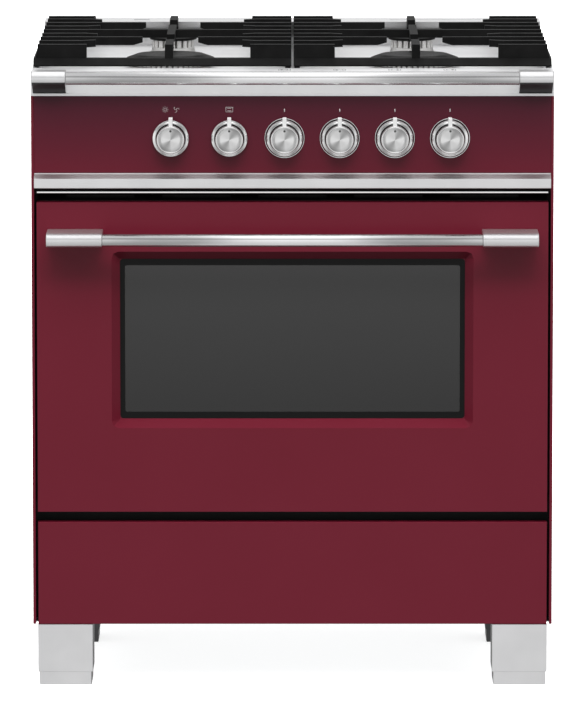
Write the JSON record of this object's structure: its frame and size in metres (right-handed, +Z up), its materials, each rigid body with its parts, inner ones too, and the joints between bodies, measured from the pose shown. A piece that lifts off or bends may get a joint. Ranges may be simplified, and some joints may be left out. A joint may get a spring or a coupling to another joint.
{
  "type": "freestanding gas range",
  "caption": "Freestanding gas range: gas hob with cast iron grates over an oven with a drop-down glazed door, front rail, storage drawer and square adjustable legs.",
  "frame": {"origin": "middle of the footprint at floor level, the footprint running from the front of the door handle to the back of the cooktop", "axes": "+Z up, -Y towards the person in front of the oven door, +X to that person's right"},
  "size_m": [0.759, 0.7078, 0.935],
  "materials": {
    "red_enamel": "gloss deep red enamel",
    "brushed_steel": "brushed stainless steel",
    "polished_steel": "polished stainless steel",
    "cast_iron": "matte black cast iron",
    "black_enamel": "satin black enamel",
    "oven_enamel": "speckled dark blue-grey enamel",
    "galvanised_steel": "plain plated sheet",
    "chrome_wire": "bright wire",
    "burner_alloy": "cast alloy",
    "window_glass": "tinted glass with a black printed border",
    "gasket_fibre": "woven fibre seal"
  },
  "bodies": {
    "cabinet": {"side_panel_left": "red_enamel", "rail_bracket_left": "polished_steel", "leg_front_left": "brushed_steel", "leg_rear_left": "brushed_steel", "side_panel_right": "red_enamel", "rail_bracket_right": "polished_steel", "leg_front_right": "brushed_steel", "leg_rear_right": "brushed_steel", "burner_head_front_left": "burner_alloy", "burner_head_front_right": "burner_alloy", "burner_head_rear_left": "burner_alloy", "burner_head_rear_right": "burner_alloy", "base_pan": "galvanised_steel", "back_panel": "galvanised_steel", "front_frame": "black_enamel", "oven_liner": "oven_enamel", "fan_cover": "oven_enamel", "bake_burner": "galvanised_steel", "broil_burner": "galvanised_steel", "gas_manifold": "galvanised_steel", "console_panel": "red_enamel", "console_trim": "brushed_steel", "cooktop_tray": "brushed_steel", "rear_trim": "brushed_steel", "front_rail": "brushed_steel", "door_gasket": "gasket_fibre"},
    "oven_door": {"door_skin": "red_enamel", "door_glass": "window_glass", "door_inner_panel": "black_enamel", "door_inner_glass": "window_glass", "door_hinge": "black_enamel", "handle_bar": "brushed_steel", "handle_bracket_left": "polished_steel", "handle_bracket_right": "polished_steel"},
    "drawer": {"drawer_front": "red_enamel", "drawer_box": "galvanised_steel"},
    "lower_rack": {"oven_rack_lower": "chrome_wire"},
    "upper_rack": {"oven_rack_upper": "chrome_wire"},
    "fan": {"convection_fan": "galvanised_steel"},
    "grate_left": {"trivet_left": "cast_iron"},
    "cap_front_left": {"burner_cap_front_left": "black_enamel"},
    "cap_rear_left": {"burner_cap_rear_left": "black_enamel"},
    "grate_right": {"trivet_right": "cast_iron"},
    "cap_front_right": {"burner_cap_front_right": "black_enamel"},
    "cap_rear_right": {"burner_cap_rear_right": "black_enamel"},
    "stem_oven": {"valve_stem_oven": "galvanised_steel"},
    "knob_oven": {"knob_oven": "brushed_steel"},
    "stem_burner_1": {"valve_stem_burner_1": "galvanised_steel"},
    "knob_burner_1": {"knob_burner_1": "brushed_steel"},
    "stem_burner_2": {"valve_stem_burner_2": "galvanised_steel"},
    "knob_burner_2": {"knob_burner_2": "brushed_steel"},
    "stem_burner_3": {"valve_stem_burner_3": "galvanised_steel"},
    "knob_burner_3": {"knob_burner_3": "brushed_steel"},
    "stem_burner_4": {"valve_stem_burner_4": "galvanised_steel"},
    "knob_burner_4": {"knob_burner_4": "brushed_steel"},
    "knob_selector": {"knob_selector": "brushed_steel"},
    "foot_front_left": {"foot_front_left": "brushed_steel"},
    "foot_rear_left": {"foot_rear_left": "brushed_steel"},
    "foot_front_right": {"foot_front_right": "brushed_steel"},
    "foot_rear_right": {"foot_rear_right": "brushed_steel"}
  },
  "joints": [
    {"name": "door_hinge", "type": "hinge", "parent": "cabinet", "child": "oven_door", "pos_m": [0, -0.26605, 0.263], "axis": [1, 0, 0], "range_deg": [0, 90]},
    {"name": "drawer_slide", "type": "slide", "parent": "cabinet", "child": "drawer", "axis": [0, -1, 0], "range_m": [0, 0.33]},
    {"name": "lower_rack_slide", "type": "slide", "parent": "cabinet", "child": "lower_rack", "axis": [0, -1, 0], "range_m": [0, 0.27]},
    {"name": "upper_rack_slide", "type": "slide", "parent": "cabinet", "child": "upper_rack", "axis": [0, -1, 0], "range_m": [0, 0.24]},
    {"name": "fan_spin", "type": "hinge", "parent": "cabinet", "child": "fan", "pos_m": [0, 0.19395, 0.49], "axis": [0, 1, 0], "continuous": true},
    {"name": "grate_left_lift", "type": "slide", "parent": "cabinet", "child": "grate_left", "axis": [0, 0, 1], "range_m": [0, 0.12]},
    {"name": "cap_front_left_lift", "type": "slide", "parent": "cabinet", "child": "cap_front_left", "axis": [0, 0, 1], "range_m": [0, 0.055]},
    {"name": "cap_rear_left_lift", "type": "slide", "parent": "cabinet", "child": "cap_rear_left", "axis": [0, 0, 1], "range_m": [0, 0.055]},
    {"name": "grate_right_lift", "type": "slide", "parent": "cabinet", "child": "grate_right", "axis": [0, 0, 1], "range_m": [0, 0.12]},
    {"name": "cap_front_right_lift", "type": "slide", "parent": "cabinet", "child": "cap_front_right", "axis": [0, 0, 1], "range_m": [0, 0.055]},
    {"name": "cap_rear_right_lift", "type": "slide", "parent": "cabinet", "child": "cap_rear_right", "axis": [0, 0, 1], "range_m": [0, 0.055]},
    {"name": "oven_push", "type": "slide", "parent": "cabinet", "child": "stem_oven", "axis": [0, 1, 0], "range_m": [0, 0.004], "stiffness_N_per_m": 500},
    {"name": "oven_turn", "type": "hinge", "parent": "stem_oven", "child": "knob_oven", "pos_m": [-0.0916, -0.30105, 0.8052], "axis": [0, -1, 0], "range_deg": [0, 290]},
    {"name": "burner_1_push", "type": "slide", "parent": "cabinet", "child": "stem_burner_1", "axis": [0, 1, 0], "range_m": [0, 0.004], "stiffness_N_per_m": 500},
    {"name": "burner_1_turn", "type": "hinge", "parent": "stem_burner_1", "child": "knob_burner_1", "pos_m": [-0.0116, -0.30105, 0.8052], "axis": [0, -1, 0], "range_deg": [0, 270]},
    {"name": "burner_2_push", "type": "slide", "parent": "cabinet", "child": "stem_burner_2", "axis": [0, 1, 0], "range_m": [0, 0.004], "stiffness_N_per_m": 500},
    {"name": "burner_2_turn", "type": "hinge", "parent": "stem_burner_2", "child": "knob_burner_2", "pos_m": [0.0684, -0.30105, 0.8052], "axis": [0, -1, 0], "range_deg": [0, 270]},
    {"name": "burner_3_push", "type": "slide", "parent": "cabinet", "child": "stem_burner_3", "axis": [0, 1, 0], "range_m": [0, 0.004], "stiffness_N_per_m": 500},
    {"name": "burner_3_turn", "type": "hinge", "parent": "stem_burner_3", "child": "knob_burner_3", "pos_m": [0.1484, -0.30105, 0.8052], "axis": [0, -1, 0], "range_deg": [0, 270]},
    {"name": "burner_4_push", "type": "slide", "parent": "cabinet", "child": "stem_burner_4", "axis": [0, 1, 0], "range_m": [0, 0.004], "stiffness_N_per_m": 500},
    {"name": "burner_4_turn", "type": "hinge", "parent": "stem_burner_4", "child": "knob_burner_4", "pos_m": [0.2284, -0.30105, 0.8052], "axis": [0, -1, 0], "range_deg": [0, 270]},
    {"name": "selector_turn", "type": "hinge", "parent": "cabinet", "child": "knob_selector", "pos_m": [-0.1766, -0.30105, 0.8052], "axis": [0, -1, 0], "range_deg": [-60, 60]},
    {"name": "foot_front_left_level", "type": "slide", "parent": "cabinet", "child": "foot_front_left", "axis": [0, 0, -1], "range_m": [-0.019, 0.006]},
    {"name": "foot_rear_left_level", "type": "slide", "parent": "cabinet", "child": "foot_rear_left", "axis": [0, 0, -1], "range_m": [-0.019, 0.006]},
    {"name": "foot_front_right_level", "type": "slide", "parent": "cabinet", "child": "foot_front_right", "axis": [0, 0, -1], "range_m": [-0.019, 0.006]},
    {"name": "foot_rear_right_level", "type": "slide", "parent": "cabinet", "child": "foot_rear_right", "axis": [0, 0, -1], "range_m": [-0.019, 0.006]}
  ],
  "couplings": [
    {"joint": "lower_rack_slide", "follows": "door_hinge", "m_per_rad": 0.17},
    {"joint": "upper_rack_slide", "follows": "door_hinge", "m_per_rad": 0.15},
    {"joint": "cap_front_left_lift", "follows": "grate_left_lift", "ratio": 0.45},
    {"joint": "cap_rear_left_lift", "follows": "grate_left_lift", "ratio": 0.45},
    {"joint": "cap_front_right_lift", "follows": "grate_right_lift", "ratio": 0.45},
    {"joint": "cap_rear_right_lift", "follows": "grate_right_lift", "ratio": 0.45}
  ]
}
